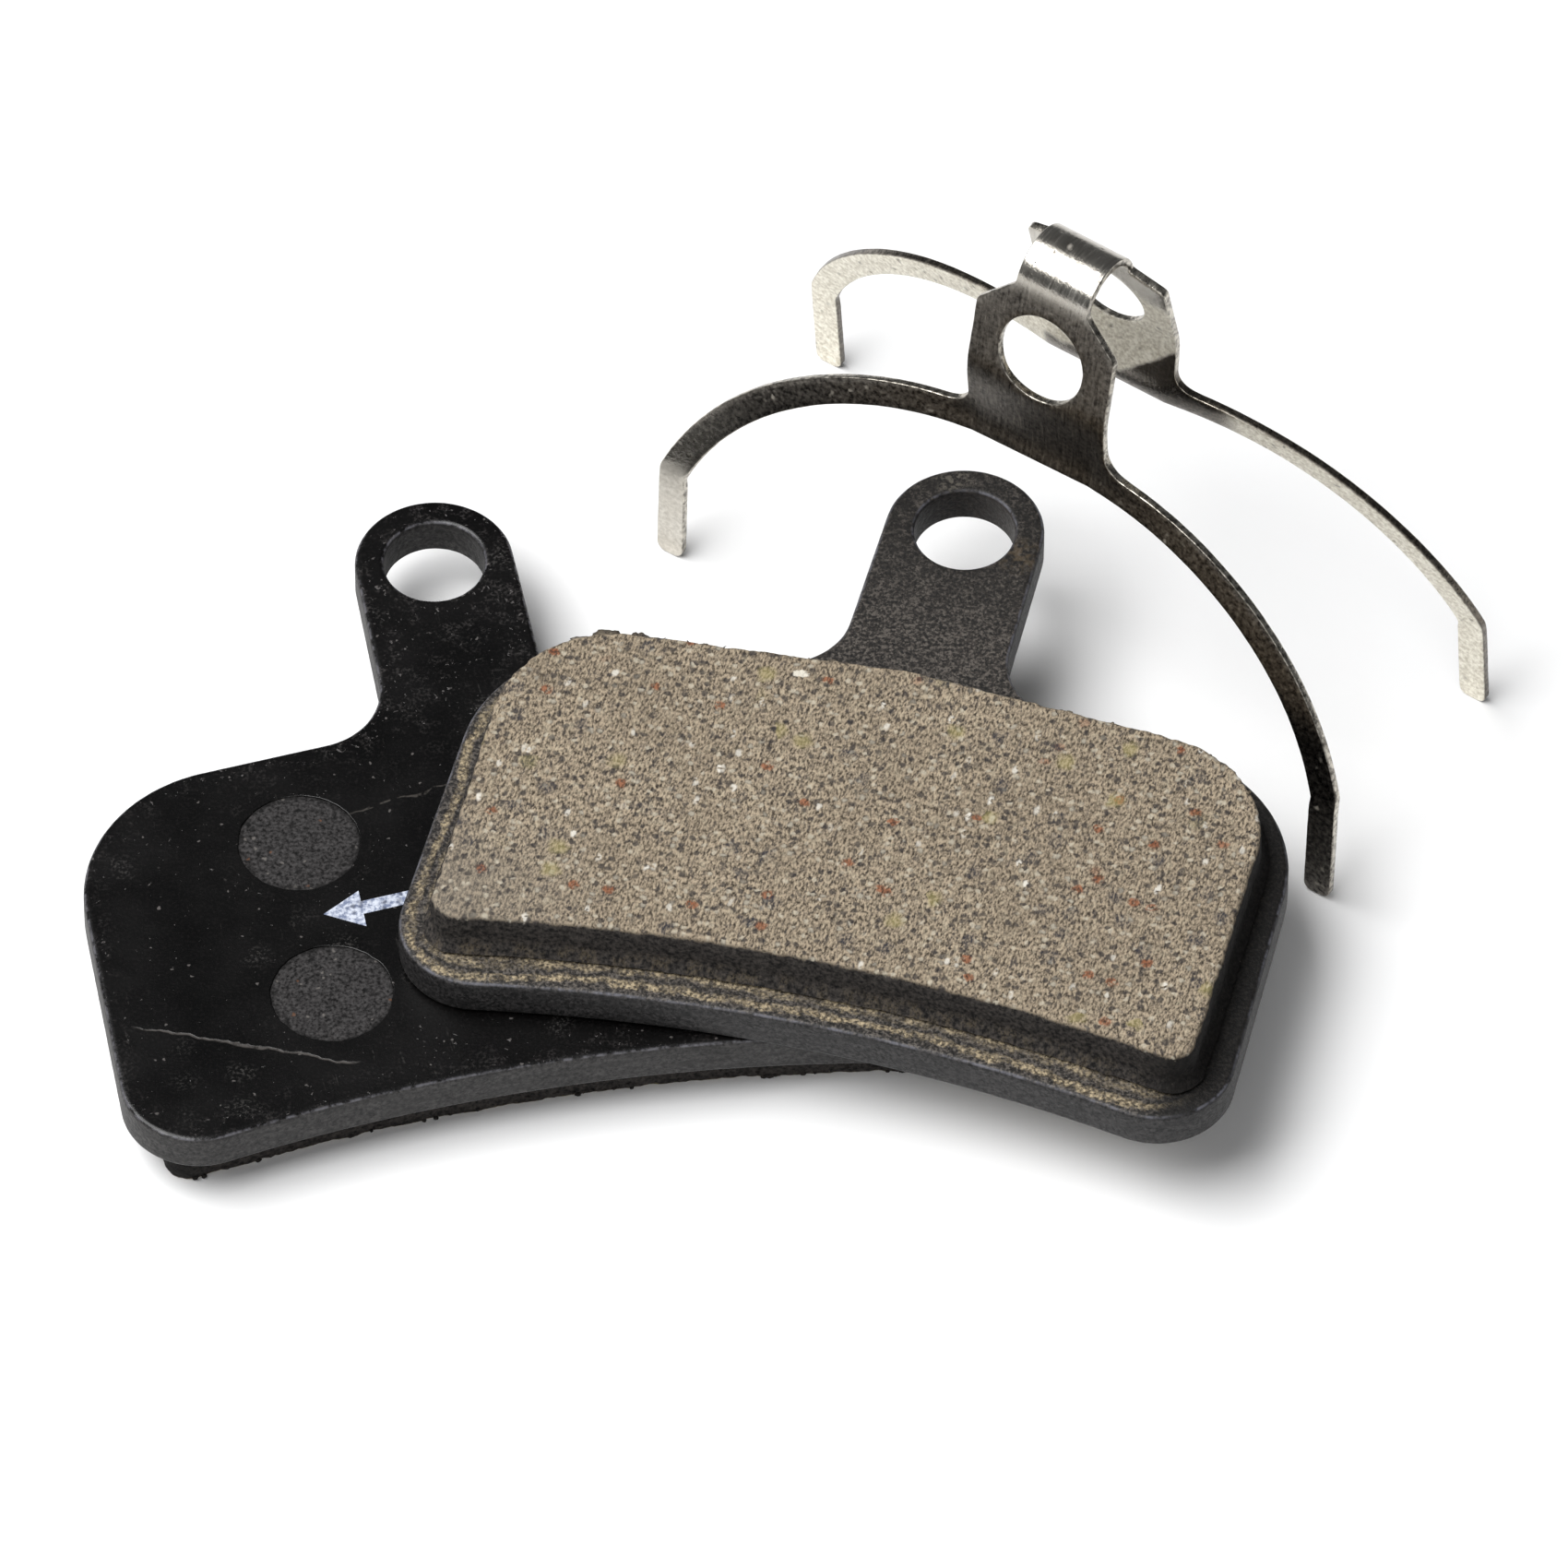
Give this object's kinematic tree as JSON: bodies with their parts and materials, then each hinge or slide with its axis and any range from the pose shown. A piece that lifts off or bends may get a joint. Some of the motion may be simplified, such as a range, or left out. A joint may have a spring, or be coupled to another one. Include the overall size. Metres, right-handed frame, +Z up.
{
  "type": "disc brake pad set",
  "caption": "Bicycle disc brake pad set: steel-backed pads with a pin tab and concave lower edge, stacked crosswise, with a sprung sheet-steel pad spreader standing behind.",
  "frame": {"origin": "middle of the set's footprint, on the surface it lies on", "axes": "+Z up from that surface; +X to the right and +Y to the back, seen from the side the front pad's concave edge faces"},
  "size_m": [0.061, 0.0482, 0.0243],
  "materials": {
    "black_paint": "satin",
    "worn_black_paint": "matte",
    "organic_lining": "matte",
    "organic_lining_dark": "matte",
    "bond_film": "matte",
    "white_ink": "matte",
    "spring_steel": "brushed"
  },
  "bodies": {
    "rear_pad": {"rear_backing_plate": "black_paint", "rear_bond_layer": "bond_film", "rear_friction_lining": "organic_lining", "rear_plug_upper_left": "organic_lining_dark", "rear_plug_upper_right": "organic_lining_dark", "rear_plug_lower_left": "organic_lining_dark", "rear_plug_lower_right": "organic_lining_dark", "rear_direction_mark": "white_ink"},
    "front_pad": {"front_backing_plate": "worn_black_paint", "front_bond_layer": "bond_film", "front_friction_lining": "organic_lining", "front_plug_upper_left": "organic_lining_dark", "front_plug_upper_right": "organic_lining_dark", "front_plug_lower_left": "organic_lining_dark", "front_plug_lower_right": "organic_lining_dark"},
    "spring_front": {"spring_front_cheek": "spring_steel", "spring_front_left_leg": "spring_steel", "spring_front_right_leg": "spring_steel", "spring_bow": "spring_steel"},
    "spring_rear": {"spring_rear_cheek": "spring_steel", "spring_rear_left_leg": "spring_steel", "spring_rear_right_leg": "spring_steel"}
  },
  "joints": [
    {"name": "front_pad_draw", "type": "slide", "parent": "rear_pad", "child": "front_pad", "axis": [-0.2297, -0.9112, 0.342], "range_m": [0, 0.025]},
    {"name": "spring_lift", "type": "slide", "parent": "rear_pad", "child": "spring_front", "axis": [0, 0, 1], "range_m": [0, 0.025]},
    {"name": "spring_squeeze", "type": "hinge", "parent": "spring_front", "child": "spring_rear", "pos_m": [0.01217, 0.00884, 0.02241], "axis": [0.8241, -0.5664, 0], "range_deg": [-8, 3], "stiffness_Nm_per_rad": 0.004, "deforming": ["spring_bow"]}
  ]
}
